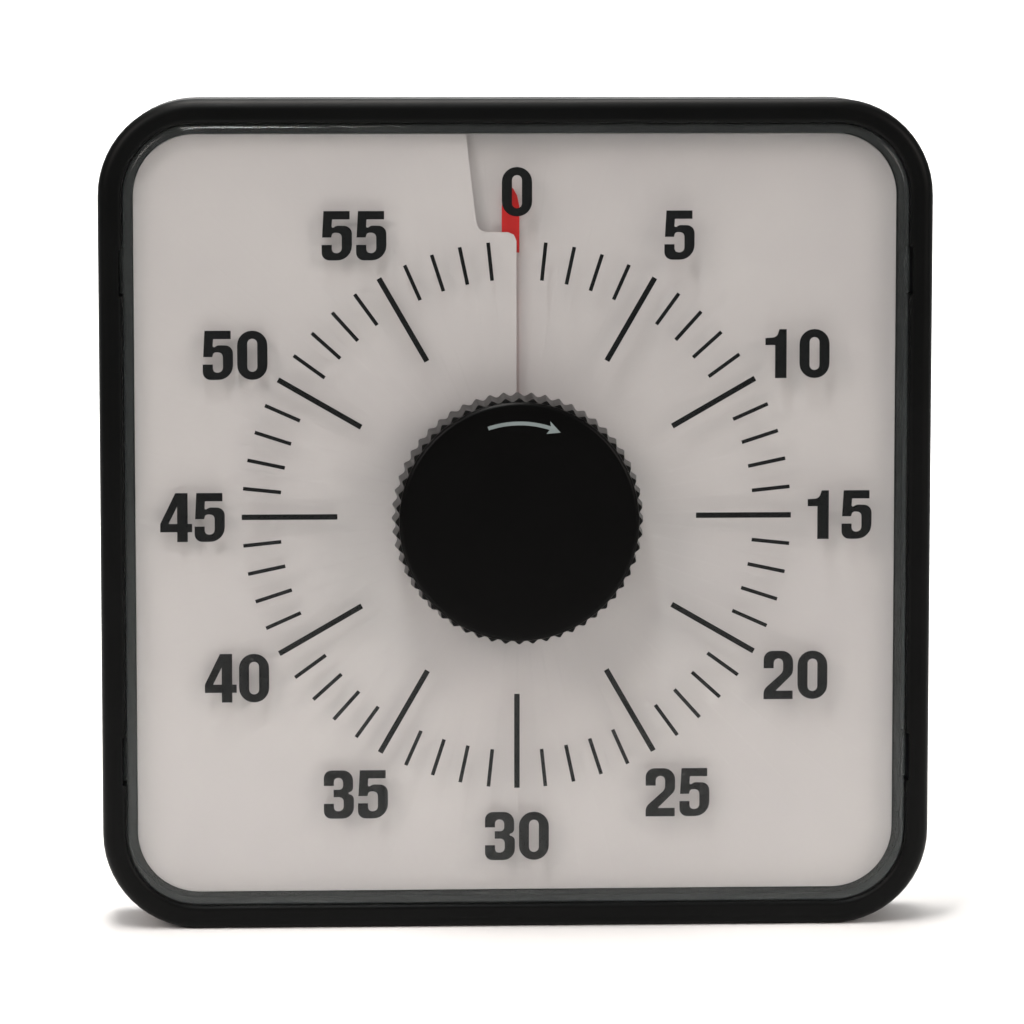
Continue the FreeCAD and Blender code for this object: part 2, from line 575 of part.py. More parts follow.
def rear_cover():
    """Back shell with a tongue, stand recess, magnet pockets, keyhole, sound slots and screw holes."""
    solid = round_block(CASE_HALF, CASE_CORNER, CASE_SPLIT, CASE_BACK)
    solid = solid.makeFillet(3.0, edges_at(solid, CASE_BACK))
    inner = CASE_HALF - WALL
    solid = solid.cut(round_block(inner, CASE_CORNER - WALL, CASE_SPLIT - 1, CASE_BACK - WALL))
    tongue = round_ring(inner - 0.2, CASE_CORNER - WALL - 0.2, inner - 1.7, CASE_CORNER - WALL - 1.7,
                        CASE_SPLIT - 1.5, CASE_SPLIT + 1.0)
    web = round_ring(inner + 0.5, CASE_CORNER - WALL + 0.5, inner - 1.7, CASE_CORNER - WALL - 1.7,
                     CASE_SPLIT + 0.1, CASE_SPLIT + 1.5)
    solid = solid.fuse(tongue).fuse(web)
    z0 = STAND_FOOT - AXIS_Z
    z1 = STAND_AXIS[1] - AXIS_Z
    solid = solid.fuse(block(-STAND_HALF - 3, STAND_HALF + 3, 14.6, CASE_BACK - 1, z0 - 3, z1 + 5.5))
    solid = solid.cut(block(-STAND_HALF - 0.6, STAND_HALF + 0.6, 16.3, CASE_BACK + 1, z0 - 0.8, z1 + 3.4))
    solid = solid.cut(hinge_bar(STAND_PIN_R + 0.02, 2.5))
    for x, z in MAGNETS:
        solid = solid.fuse(rod(x, z, MAGNET_R + 2, 15.9, CASE_BACK - 1))
        solid = solid.cut(rod(x, z, MAGNET_R + 0.1, CASE_BACK - MAGNET_THICK - 0.1, CASE_BACK + 1))
    for sx in (-1, 1):
        for sz in (-1, 1):
            at = (sx * CASE_SCREW_AT, sz * CASE_SCREW_AT)
            solid = solid.fuse(rod(*at, 4.0, CASE_SPLIT + 0.1, CASE_BACK - 1))
            solid = solid.cut(rod(*at, 1.7, CASE_SPLIT - 1, CASE_BACK + 1))
            solid = solid.cut(rod(*at, 3.1, CASE_BACK - 3.5, CASE_BACK + 1))
    solid = solid.cut(rod(0, KEYHOLE_Z, KEYHOLE_R, CASE_BACK - 5, CASE_BACK + 1))
    solid = solid.cut(rod(0, KEYHOLE_Z + 9, 2.2, CASE_BACK - 5, CASE_BACK + 1))
    solid = solid.cut(block(-2.2, 2.2, CASE_BACK - 5, CASE_BACK + 1, KEYHOLE_Z, KEYHOLE_Z + 9))
    for i in range(7):
        x = BELL_AT[0] + 5.0 * (i - 3)
        high = 12.0 - 1.2 * abs(i - 3)
        slot = block(x - 1, x + 1, CASE_BACK - 4, CASE_BACK + 1, BELL_AT[1] - high, BELL_AT[1] + high)
        solid = solid.cut(slot)
    return solid.removeSplitter()


def kickstand():
    """Flat stand with a knuckle along its top edge and a finger scallop at its foot."""
    y, z = STAND_AXIS
    foot = STAND_FOOT - AXIS_Z
    solid = block(-STAND_HALF, STAND_HALF, y - 1.8, y + 1.8, foot, z - AXIS_Z)
    upright = [e for e in solid.Edges if abs(e.tangentAt(e.FirstParameter).y) > 0.9]
    solid = solid.makeFillet(5.0, [e for e in upright if e.BoundBox.ZMax < z - 1])
    solid = solid.cut(block(-11.0, 11.0, 0, 30, foot - 1, foot + 8))
    solid = solid.fuse(hinge_bar(2.1, 0.0))
    solid = solid.cut(block(-26, 26, y + 0.9, y + 3, foot + 13, z - AXIS_Z - 7))
    return solid.cut(hinge_bar(STAND_PIN_R + RUN, 1.0)).removeSplitter()


def magnet(x, z):
    return rod(x, z, MAGNET_R, CASE_BACK - MAGNET_THICK, CASE_BACK - 0.1)


def group(solids):
    return Part.makeCompound(solids)


CORNERS = [(sx * CASE_SCREW_AT, sz * CASE_SCREW_AT) for sx in (-1, 1) for sz in (-1, 1)]
PARTS = {
    "front_frame": front_frame,
    "rear_cover": rear_cover,
    "clear_cover": clear_cover,
    "dial_plate": dial_plate,
    "dial_sheet": dial_sheet,
    "red_disc": red_disc,
    "disc_hub": disc_hub,
    "knob_body": knob_body,
    "knob_cap": knob_cap,
    "knob_screw": lambda: screw(0, 0, 3.2, (-17.9, -16.8), 1.2, (-17.0, -9.5)),
    "spindle": spindle,
    "movement_front_plate": front_plate,
    "movement_rear_plate": rear_plate,
    "plate_pillars": lambda: group([pillar(x, z) for x, z in PILLARS]),
    "pillar_screws": lambda: group([screw(x, z, 1.9, (16.0, 17.0), 0.9, (10.5, 16.5)) for x, z in PILLARS]),
    "movement_screws": lambda: group([screw(x, z, 2.2, (4.2, 5.2), 1.2, (0.4, 4.7))
                                      for x, z in MOUNT_SCREWS]),
    "mainspring": mainspring,
    "great_wheel": great_wheel,
    "ratchet_wheel": ratchet_wheel,
    "click": click,
    "second_wheel": second_wheel,
    "second_pinion": lambda: pinion(*SECOND_AT, PINION_TEETH, SECOND_ANGLE, 6.3, 8.3),
    "third_wheel": third_wheel,
    "third_pinion": lambda: pinion(*THIRD_AT, PINION_TEETH, THIRD_ANGLE, 4.5, 6.3),
    "escape_wheel": escape_wheel,
    "escape_pinion": lambda: pinion(*ESCAPE_AT, ESCAPE_PINION_TEETH, ESCAPE_ANGLE, 8.5, 10.3),
    "pallet_lever": pallet_lever,
    "pallet_staff": lever_staff,
    "balance_wheel": balance_wheel,
    "balance_staff": lambda: staff(*BALANCE_AT, FRONT_PLATE[1] + 0.2, REAR_PLATE[0] - 0.2),
    "strike_cam": strike_cam,
    "hammer": hammer,
    "hammer_pin": lambda: rod(*HAMMER_PIVOT, 1.0, 12.6, REAR_PLATE[1]),
    "bell": bell,
    "bell_post": bell_post,
    "bell_screw": lambda: screw(*BELL_AT, 2.6, (14.0, 15.2), 0.85, (8.5, 14.5)),
    "case_screws": lambda: group([screw(x, z, 2.8, (17.5, 19.2), 1.2, (5.0, 18.0)) for x, z in CORNERS]),
    "magnets": lambda: group([magnet(x, z) for x, z in MAGNETS]),
    "kickstand": kickstand,
    "stand_hinge_pin": lambda: hinge_bar(STAND_PIN_R, 2.3),
}

os.makedirs("parts", exist_ok=True)
for name, make in PARTS.items():
    shape = make()
    shape.exportStep("parts/" + name + ".step")
    print(name, "valid" if shape.isValid() else "NOT VALID", len(shape.Solids), round(shape.Volume, 1))
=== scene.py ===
"""Looks of a sixty-minute clockwork visual timer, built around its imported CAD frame."""

import logging
import math
from dataclasses import dataclass
from enum import Enum
from typing import Any, Callable, Optional, Sequence

import bmesh
import bpy
from mathutils import Matrix, Vector


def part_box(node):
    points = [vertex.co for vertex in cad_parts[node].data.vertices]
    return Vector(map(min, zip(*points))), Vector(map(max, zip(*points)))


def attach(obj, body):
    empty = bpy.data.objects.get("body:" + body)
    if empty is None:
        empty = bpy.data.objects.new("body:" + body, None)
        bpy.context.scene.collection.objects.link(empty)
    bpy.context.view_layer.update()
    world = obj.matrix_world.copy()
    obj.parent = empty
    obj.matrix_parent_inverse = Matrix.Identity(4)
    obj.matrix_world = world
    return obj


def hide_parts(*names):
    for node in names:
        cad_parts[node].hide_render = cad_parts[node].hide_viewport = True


LOG = logging.getLogger("timer")
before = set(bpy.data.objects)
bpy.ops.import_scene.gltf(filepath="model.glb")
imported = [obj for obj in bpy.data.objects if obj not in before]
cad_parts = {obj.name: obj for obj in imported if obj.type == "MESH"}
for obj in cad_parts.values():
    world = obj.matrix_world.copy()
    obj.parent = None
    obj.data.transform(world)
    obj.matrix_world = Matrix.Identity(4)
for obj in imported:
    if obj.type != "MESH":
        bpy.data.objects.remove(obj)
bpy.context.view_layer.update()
AXIS_Z = sum(corner.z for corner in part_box("front_frame")) / 2
MERGE_MM = 0.002
SHARP_ANGLE = 32.0
FLAT_FACE_WEIGHT = 80
ARC_FACETS = 6
CIRCLE_POINTS = 40
NOISE_LOW, NOISE_HIGH = 0.3, 0.7
Point = tuple[float, float]
Level = tuple[float, Callable[[int], Point]]


def mm(value: float) -> float:
    """Turns millimetres into metres.

    Args:
        value: a length in millimetres.

    Returns:
        The length in metres.
    """
    return value / 1000.0


def linear(code: str) -> tuple[float, float, float, float]:
    """Turns an sRGB hex colour into Blender's linear values.

    Args:
        code: six hex digits, such as "D8D2CC".

    Returns:
        Red, green, blue and an alpha of one.
    """
    parts = [int(code[i : i + 2], 16) / 255.0 for i in (0, 2, 4)]
    red, green, blue = [p / 12.92 if p <= 0.04045 else ((p + 0.055) / 1.055) ** 2.4 for p in parts]
    return (red, green, blue, 1.0)


def per_mm(size: float) -> float:
    """Texture scale for a pattern on Object coordinates.

    Args:
        size: the width of one mark in millimetres.

    Returns:
        The scale that draws marks of that width.
    """
    return 1000.0 / size


# ---------------------------------------------------------------------------------------------- finishes


def add_node(
    material: bpy.types.Material,
    kind: str,
    settings: Optional[dict[Any, Any]] = None,
    links: Optional[dict[Any, bpy.types.NodeSocket]] = None,
) -> bpy.types.Node:
    """Adds a node to a material.

    Args:
        material: the material that gets the node.
        kind: the node's type name.
        settings: properties by name, and input values by the input's name or number.
        links: sockets that feed the inputs, by the input's name or number.

    Returns:
        The new node.
    """
    node = material.node_tree.nodes.new(kind)
    for key, value in (settings or {}).items():
        if isinstance(key, str) and hasattr(node, key):
            setattr(node, key, value)
        else:
            node.inputs[key].default_value = value
    for key, socket in (links or {}).items():
        material.node_tree.links.new(socket, node.inputs[key])
    return node


def new_material(name: str) -> bpy.types.Material:
    """Makes a node material with no nodes in it yet.

    Args:
        name: the material's name.

    Returns:
        The new material.
    """
    material = bpy.data.materials.new(name)
    material.use_nodes = True
    material.node_tree.nodes.clear()
    return material


def close_material(material: bpy.types.Material, shader: bpy.types.Node) -> bpy.types.Material:
    """Links a shader to the material's output.

    Args:
        material: the material that gets the output.
        shader: the node whose first output is shown.

    Returns:
        The same material.
    """
    add_node(material, "ShaderNodeOutputMaterial", links={"Surface": shader.outputs[0]})
    return material


def blotches(material: bpy.types.Material, size: float, low: float, high: float) -> bpy.types.NodeSocket:
    """Soft cloudy pattern on Object coordinates.

    Args:
        material: the material that gets the nodes.
        size: width of one cloud in millimetres.
        low: value in the dark parts.
        high: value in the light parts.

    Returns:
        The socket that carries the value.
    """
    place = add_node(material, "ShaderNodeTexCoord")
    noise = add_node(
        material,
        "ShaderNodeTexNoise",
        {"Scale": per_mm(size), "Detail": 3.0, "Roughness": 0.55},
        {"Vector": place.outputs["Object"]},
    )
    spread = add_node(
        material,
        "ShaderNodeMapRange",
        {"From Min": NOISE_LOW, "From Max": NOISE_HIGH, "To Min": low, "To Max": high},
        {"Value": noise.outputs[0]},
    )
    return spread.outputs[0]


def grain(
    material: bpy.types.Material, size: float, height: float, detail: float = 2.0
) -> bpy.types.NodeSocket:
    """Fine even bump, such as a spark-eroded mould leaves.

    Args:
        material: the material that gets the nodes.
        size: width of one grain in millimetres.
        height: height of the grain in millimetres.
        detail: how many finer layers the grain has.

    Returns:
        The socket that carries the bumped normal.
    """
    place = add_node(material, "ShaderNodeTexCoord")
    noise = add_node(
        material,
        "ShaderNodeTexNoise",
        {"Scale": per_mm(size), "Detail": detail},
        {"Vector": place.outputs["Object"]},
    )
    bump = add_node(
        material,
        "ShaderNodeBump",
        {"Strength": 1.0, "Distance": mm(height)},
        {"Height": noise.outputs[0]},
    )
    return bump.outputs[0]


def tinted(material: bpy.types.Material, dark: str, light: str, size: float) -> bpy.types.NodeSocket:
    """Colour that drifts between two close shades in soft clouds.

    Args:
        material: the material that gets the nodes.
        dark: the darker shade as sRGB hex.
        light: the lighter shade as sRGB hex.
        size: width of one cloud in millimetres.

    Returns:
        The socket that carries the colour.
    """
    mix = add_node(
        material,
        "ShaderNodeMix",
        {"data_type": "RGBA", 6: linear(dark), 7: linear(light)},
        {0: blotches(material, size, 0.0, 1.0)},
    )
    return mix.outputs[2]


@dataclass(frozen=True)
class Plastic:
    """Moulded or calendered plastic, or printing ink, of one colour all through.

    Fine grain scatters the highlight, and handling leaves smoother and duller patches. The black plastics
    and the black ink have an IOR below the real 1.5, matched so that they stay as dark as on the object
    between pale walls.

    Attributes:
        name: the real material and how its surface was made.
        dark: darker shade as sRGB hex.
        light: lighter shade as sRGB hex.
        rough_low: roughness of the smoother patches.
        rough_high: roughness of the duller patches.
        ior: index of refraction, matched as above.
        grain_mm: width of one grain, drawn as coarse as it needs to show.
        grain_height_mm: height of that grain.
        patch_mm: width of one patch of colour. The patches of roughness are half as wide.
    """

    name: str
    dark: str
    light: str
    rough_low: float
    rough_high: float
    ior: float
    grain_mm: float
    grain_height_mm: float
    patch_mm: float

    def material(self) -> bpy.types.Material:
        """Builds the plastic's node material.

        Returns:
            The material.
        """
        made = new_material(self.name)
        shader = add_node(
            made,
            "ShaderNodeBsdfPrincipled",
            {"IOR": self.ior},
            {
                "Base Color": tinted(made, self.dark, self.light, self.patch_mm),
                "Roughness": blotches(made, self.patch_mm / 2, self.rough_low, self.rough_high),
                "Normal": grain(made, self.grain_mm, self.grain_height_mm),
            },
        )
        return close_material(made, shader)


@dataclass(frozen=True)
class ClearStyrene:
    """Crystal polystyrene, injection moulded: nearly nothing is seen but the room's soft reflections.

    The real IOR is 1.59. It was lowered to match how little the object's window reflects of its pale
    surroundings. The back faces get the inverse, so that they don't turn the lamps' light away.

    Attributes:
        name: the real material and how its surface was made.
        ior: index of refraction, matched as above.
        haze: base roughness of the polished faces.
        haze_low: the clearest patches' share of it.
        haze_high: the haziest patches' share of it.
        haze_patch_mm: width of one patch of haze.
        ripple_mm: width of the slight ripple that moulding leaves.
        ripple_height_mm: height of that ripple.
    """

    name: str = "clear_crystal_styrene"
    ior: float = 1.27
    haze: float = 0.035
    haze_low: float = 0.6
    haze_high: float = 1.6
    haze_patch_mm: float = 22.0
    ripple_mm: float = 9.0
    ripple_height_mm: float = 0.004

    def material(self) -> bpy.types.Material:
        """Builds a thin clear sheet: what is behind shows through, and edges turn glossy.

        Returns:
            The material.
        """
        made = new_material(self.name)
        seen = add_node(made, "ShaderNodeBsdfTransparent", {"Color": linear("F8FAFA")})
        gloss = add_node(
            made,
            "ShaderNodeBsdfGlossy",
            {"Color": linear("FFFFFF")},
            {
                "Roughness": blotches(
                    made, self.haze_patch_mm, self.haze * self.haze_low, self.haze * self.haze_high
                ),
                "Normal": grain(made, self.ripple_mm, self.ripple_height_mm, 1.0),
            },
        )
        front = add_node(made, "ShaderNodeFresnel", {"IOR": self.ior})
        back = add_node(made, "ShaderNodeFresnel", {"IOR": 1.0 / self.ior})
        side = add_node(made, "ShaderNodeNewGeometry")
        edge = add_node(
            made,
            "ShaderNodeMix",
            {"data_type": "FLOAT"},
            {0: side.outputs["Backfacing"], 2: front.outputs[0], 3: back.outputs[0]},
        )
        mix = add_node(
            made,
            "ShaderNodeMixShader",
            links={0: edge.outputs[0], 1: seen.outputs[0], 2: gloss.outputs[0]},
        )
        return close_material(made, mix)


@dataclass(frozen=True)
class FrostedStyrene:
    """The tray's side walls: the same crystal polystyrene off a textured part of the mould.

    It gives the eye a dim grey band between the dial and the black rim.

    Attributes:
        name: the real material and how its surface was made.
        body: share of the light that the texture scatters.
        ior: index of refraction of the scattering surface.
        dark: darker shade as sRGB hex.
        light: lighter shade as sRGB hex.
        tint_patch_mm: width of one patch of colour.
        rough_low: roughness of the smoother patches.
        rough_high: roughness of the duller patches.
        rough_patch_mm: width of one of those patches.
        grain_mm: width of one grain of the mould, drawn as coarse as it needs to show.
        grain_height_mm: height of that grain.
    """

    name: str = "frosted_crystal_styrene"
    body: float = 0.1
    ior: float = 1.5
    dark: str = "8F9291"
    light: str = "A3A6A5"
    tint_patch_mm: float = 20.0
    rough_low: float = 0.34
    rough_high: float = 0.46
    rough_patch_mm: float = 12.0
    grain_mm: float = 0.8
    grain_height_mm: float = 0.003

    def material(self) -> bpy.types.Material:
        """Builds a thin milky sheet that lets most of what is behind show through.

        Returns:
            The material.
        """
        made = new_material(self.name)
        seen = add_node(made, "ShaderNodeBsdfTransparent", {"Color": linear("F2F4F4")})
        milk = add_node(
            made,
            "ShaderNodeBsdfPrincipled",
            {"IOR": self.ior},
            {
                "Base Color": tinted(made, self.dark, self.light, self.tint_patch_mm),
                "Roughness": blotches(made, self.rough_patch_mm, self.rough_low, self.rough_high),
                "Normal": grain(made, self.grain_mm, self.grain_height_mm),
            },
        )
        mix = add_node(
            made, "ShaderNodeMixShader", {0: self.body}, {1: seen.outputs[0], 2: milk.outputs[0]}
        )
        return close_material(made, mix)


@dataclass(frozen=True)
class Metal:
    """Worked metal. Turning, rolling or stamping leaves fine marks that stretch the highlight.

    Attributes:
        name: the real metal and how its surface was made.
        dark: darker shade as sRGB hex.
        light: lighter shade as sRGB hex.
        rough_low: roughness of the brighter patches.
        rough_high: roughness of the duller patches.
        mark_mm: width of one tool mark, drawn as coarse as it needs to show.
        mark_height_mm: height of that mark.
        tint_patch_mm: width of one patch of colour.
        rough_patch_mm: width of one patch of roughness.
        stretch: how far the marks stretch the highlight.
    """

    name: str
    dark: str
    light: str
    rough_low: float
    rough_high: float
    mark_mm: float
    mark_height_mm: float
    tint_patch_mm: float = 7.0
    rough_patch_mm: float = 4.0
    stretch: float = 0.3

    def material(self) -> bpy.types.Material:
        """Builds the metal's node material.

        Returns:
            The material.
        """
        made = new_material(self.name)
        shader = add_node(
            made,
            "ShaderNodeBsdfPrincipled",
            {"Metallic": 1.0, "Anisotropic": self.stretch},
            {
                "Base Color": tinted(made, self.dark, self.light, self.tint_patch_mm),
                "Roughness": blotches(made, self.rough_patch_mm, self.rough_low, self.rough_high),
                "Normal": grain(made, self.mark_mm, self.mark_height_mm),
            },
        )
        return close_material(made, shader)


class Finish(Enum):
    """Every finish of the timer: the real material and how it looks."""

    # Injection moulded ABS off a spark-eroded mould: deep black with a broad dull sheen.
    CASE = Plastic("black_abs_spark_grain", "040505", "070808", 0.36, 0.44, 1.2, 0.45, 0.012, 40.0)
    # Moulded ABS: the flutes catch a grey line of light on their tops.
    KNOB = Plastic("black_abs_fluted_skirt", "040404", "060606", 0.28, 0.34, 1.3, 0.7, 0.004, 18.0)
    # Moulded ABS, satin: an even black disc with nearly no reflection.
    KNOB_FACE = Plastic("black_abs_satin_face", "030303", "040404", 0.3, 0.34, 1.18, 0.7, 0.004, 40.0)
    # Moulded white ABS of the parts behind the sheet: plain and matt.
    WHITE = Plastic("white_abs_moulded", "D6D3CE", "DEDBD6", 0.42, 0.55, 1.53, 0.6, 0.01, 25.0)
    # Calendered PVC sheet: a warm, slightly pink white with a flat soft sheen.
    SHEET = Plastic("white_pvc_sheet_calendered", "CDC4C3", "D4CBC9", 0.4, 0.52, 1.52, 1.6, 0.01, 45.0)
    # The same sheet, coloured through: a strong even red.
    RED = Plastic("red_pvc_sheet_calendered", "CC110E", "D81713", 0.34, 0.45, 1.52, 1.6, 0.008, 30.0)
    # Pad printed ink behind the window: flat black.
    INK = Plastic("black_pad_printing_ink", "08090A", "0C0D0E", 0.5, 0.6, 1.2, 0.25, 0.004, 12.0)
    # Pad printed ink on the knob: a cool mid grey.
    GREY_INK = Plastic("grey_pad_printing_ink", "6F7A7A", "7A8585", 0.4, 0.55, 1.5, 0.25, 0.004, 5.0)
    # Polished crystal polystyrene: the dial shows through it.
    CLEAR = ClearStyrene()
    # The same polystyrene, textured by the mould: a dim grey band beside the rim.
    FROSTED = FrostedStyrene()
    # Rolled and stamped brass: warm, with a fine rolled sheen.
    BRASS = Metal("rolled_brass_plate", "B08A45", "C9A35C", 0.26, 0.42, 0.25, 0.004)
    # Turned and stamped steel: neutral grey with a soft highlight along each arbor.
    STEEL = Metal("turned_free_cutting_steel", "8E8F91", "A9AAAC", 0.2, 0.34, 0.2, 0.003)
    # Heat blued spring steel: dark blue with a sharp edge of light.
    BLUED = Metal("blued_spring_steel", "2B3350", "3F4A6C", 0.18, 0.3, 0.3, 0.002)
    # Nickel plating on the bell and the magnets: pale and warm with a slight haze.
    NICKEL = Metal("nickel_plated_pressing", "B9B4AA", "CFCBC2", 0.1, 0.2, 0.6, 0.002)
    # Zinc plating on the screws: pale and cool, duller than nickel.
    ZINC = Metal("zinc_plated_steel", "A7ABAE", "C0C4C6", 0.24, 0.4, 0.3, 0.003)

    def coat(self, piece: bpy.types.Object) -> None:
        """Gives a piece this finish in its only slot.

        Args:
            piece: the mesh object that gets the finish.
        """
        found = bpy.data.materials.get(self.value.name)
        made = found or self.value.material()
        piece.data.materials.clear()
        piece.data.materials.append(made)


# ---------------------------------------------------------------------------------------------- mesh tools


def finish_mesh(bm: bmesh.types.BMesh, name: str) -> bpy.types.Object:
    """Turns a bmesh into a smooth-shaded object with normals outward and hard edges kept.

    Args:
        bm: the bmesh, which is freed.
        name: the new object's name.

    Returns:
        The new object.
    """
    bmesh.ops.remove_doubles(bm, verts=bm.verts, dist=mm(MERGE_MM))
    bmesh.ops.recalc_face_normals(bm, faces=bm.faces)
    mesh = bpy.data.meshes.new(name)
    bm.to_mesh(mesh)
    bm.free()
    piece = bpy.data.objects.new(name, mesh)
    bpy.context.scene.collection.objects.link(piece)
    smooth(piece)
    return piece


def smooth(piece: bpy.types.Object) -> None:
    """Shades a piece smooth but keeps its steep edges sharp.

    Args:
        piece: the mesh object to shade.
    """
    piece.data.polygons.foreach_set("use_smooth", [True] * len(piece.data.polygons))
    piece.data.set_sharp_from_angle(angle=math.radians(SHARP_ANGLE))


def weigh_normals(piece: bpy.types.Object) -> None:
    """Lets large flat faces set the shading, so that only the rounded edges turn.

    Args:
        piece: the mesh object that gets the modifier.
    """
    modifier = piece.modifiers.new("flat_faces_stay_flat", "WEIGHTED_NORMAL")
    modifier.keep_sharp = True
    modifier.weight = FLAT_FACE_WEIGHT


def cut_away(piece: bpy.types.Object, cutter: bpy.types.Object) -> None:
    """Cuts one object out of another and removes the cutter.

    Args:
        piece: the mesh object that is cut.
        cutter: the solid that is taken away.
    """
    modifier = piece.modifiers.new("cut", "BOOLEAN")
    modifier.operation = "DIFFERENCE"
    modifier.object = cutter
    modifier.solver = "EXACT"
    graph = bpy.context.evaluated_depsgraph_get()
    cut = bpy.data.meshes.new_from_object(piece.evaluated_get(graph))
    piece.modifiers.remove(modifier)
    old = piece.data
    piece.data = cut
    bpy.data.meshes.remove(old)
    bpy.data.objects.remove(cutter)
    smooth(piece)


def loft(bm: bmesh.types.BMesh, count: int, levels: Sequence[Level], ring: bool) -> None:
    """Extrudes one closed loop through a row of levels.

    Args:
        bm: the bmesh that gets the faces.
        count: points in every loop.
        levels: each level's Y in millimetres, and the outline's point at an index.
        ring: True closes the last level onto the first. False closes both ends with a face.
    """
    made = bmesh.ops.create_circle(bm, cap_ends=not ring, segments=count, radius=1.0)
    verts = made["verts"]
    first = sorted(verts, key=lambda v: math.atan2(v.co.y, v.co.x) % (2 * math.pi))
    order = {v: i for i, v in enumerate(first)}
    place_level(first, levels[0])
    edges = [e for v in first for e in v.link_edges if e.other_vert(v) in order]
    edges = list(dict.fromkeys(edges))
    start = edges
    current = first
    for level in levels[1:]:
        grown = bmesh.ops.extrude_edge_only(bm, edges=edges)["geom"]
        fresh = {place_key(g): g for g in grown if isinstance(g, bmesh.types.BMVert)}
        current = [fresh[place_key(v)] for v in current]
        new = set(current)
        edges = [g for g in grown if isinstance(g, bmesh.types.BMEdge) and new.issuperset(g.verts)]
        place_level(current, level)
    if ring:
        bmesh.ops.bridge_loops(bm, edges=start + edges)
    else:
        bmesh.ops.contextual_create(bm, geom=edges)


def place_key(vert: bmesh.types.BMVert) -> tuple[float, ...]:
    """A vertex's place, to find the copy that an extrusion leaves on top of it.

    Args:
        vert: the vertex.

    Returns:
        Its coordinates, rounded so that they can be compared.
    """
    return tuple(round(c, 8) for c in vert.co)


def place_level(verts: Sequence[bmesh.types.BMVert], level: Level) -> None:
    """Puts a loop's points on a level's outline about the knob's axis.

    Args:
        verts: the loop's vertices in order.
        level: the level's Y in millimetres and its outline.
    """
    y, outline = level
    for index, vert in enumerate(verts):
        x, z = outline(index)
        vert.co = Vector((mm(x), mm(y), mm(z) + AXIS_Z))


def circle(radius: float, count: int) -> Callable[[int], Point]:
    """Outline of a circle.

    Args:
        radius: its radius in millimetres.
        count: points in the whole outline.

    Returns:
        The function that gives the point at an index.
    """
    return lambda i: (
        radius * math.cos(2 * math.pi * i / count),
        radius * math.sin(2 * math.pi * i / count),
    )


def round_square(half: float, corner: float, per_corner: int) -> Callable[[int], Point]:
    """Outline of a square with round corners.

    Args:
        half: half of its width in millimetres.
        corner: radius of its corners.
        per_corner: points on each corner.

    Returns:
        The function that gives the point at an index.
    """

    def at(index: int) -> Point:
        """Point of the square's outline at an index."""
        quarter, step = divmod(index, per_corner)
        angle = math.radians(90.0 * quarter + 90.0 * step / (per_corner - 1))
        turn = math.radians(45.0 + 90.0 * quarter)
        reach = (half - corner) * math.sqrt(2.0)
        return (
            reach * math.cos(turn) + corner * math.cos(angle),
            reach * math.sin(turn) + corner * math.sin(angle),
        )

    return at


def quarter_round(
    y: float, half: float, radius: float, y_side: int, half_side: int, steps: int = 5
) -> list[Point]:
    """Profile points of a rounded edge, as (y, half-width) from the face on the Y side to the wall.

    Args:
        y: the face's Y in millimetres.
        half: the wall's half-width in millimetres.
        radius: the edge's radius.
        y_side: -1 if the material lies behind the face, 1 if it lies in front of it.
        half_side: 1 if the wall looks outward, -1 if it looks inward.
        steps: facets in the quarter.

    Returns:
        The points, from the face to the wall.
    """
    points = []
    for i in range(steps + 1):
        angle = math.radians(90.0 * i / steps)
        points.append(
            (
                y - y_side * radius * (1.0 - math.cos(angle)),
                half - half_side * radius * (1.0 - math.sin(angle)),
            )
        )
    return points


def rounded_polygon(corners: Sequence[tuple[float, float, float]]) -> list[Point]:
    """Polygon whose corners are rounded by arcs.

    Args:
        corners: x, z and radius of each corner.

    Returns:
        The outline's points in order.
    """
    points: list[Point] = []
    for i, (x, z, radius) in enumerate(corners):
        here = Vector((x, z))
        if radius <= 0.0:
            points.append((x, z))
            continue
        before = Vector(corners[i - 1][:2]) - here
        after = Vector(corners[(i + 1) % len(corners)][:2]) - here
        half = before.angle(after) / 2.0
        reach = min(radius / math.tan(half), 0.499 * before.length, 0.499 * after.length)
        real = reach * math.tan(half)
        start = here + before.normalized() * reach
        end = here + after.normalized() * reach
        centre = here + (before.normalized() + after.normalized()).normalized() * (real / math.sin(half))
        from_angle = math.atan2(start.y - centre.y, start.x - centre.x)
        sweep = math.atan2(end.y - centre.y, end.x - centre.x) - from_angle
        sweep = (sweep + math.pi) % (2 * math.pi) - math.pi
        for step in range(ARC_FACETS + 1):
            angle = from_angle + sweep * step / ARC_FACETS
            points.append((centre.x + real * math.cos(angle), centre.y + real * math.sin(angle)))
    return points


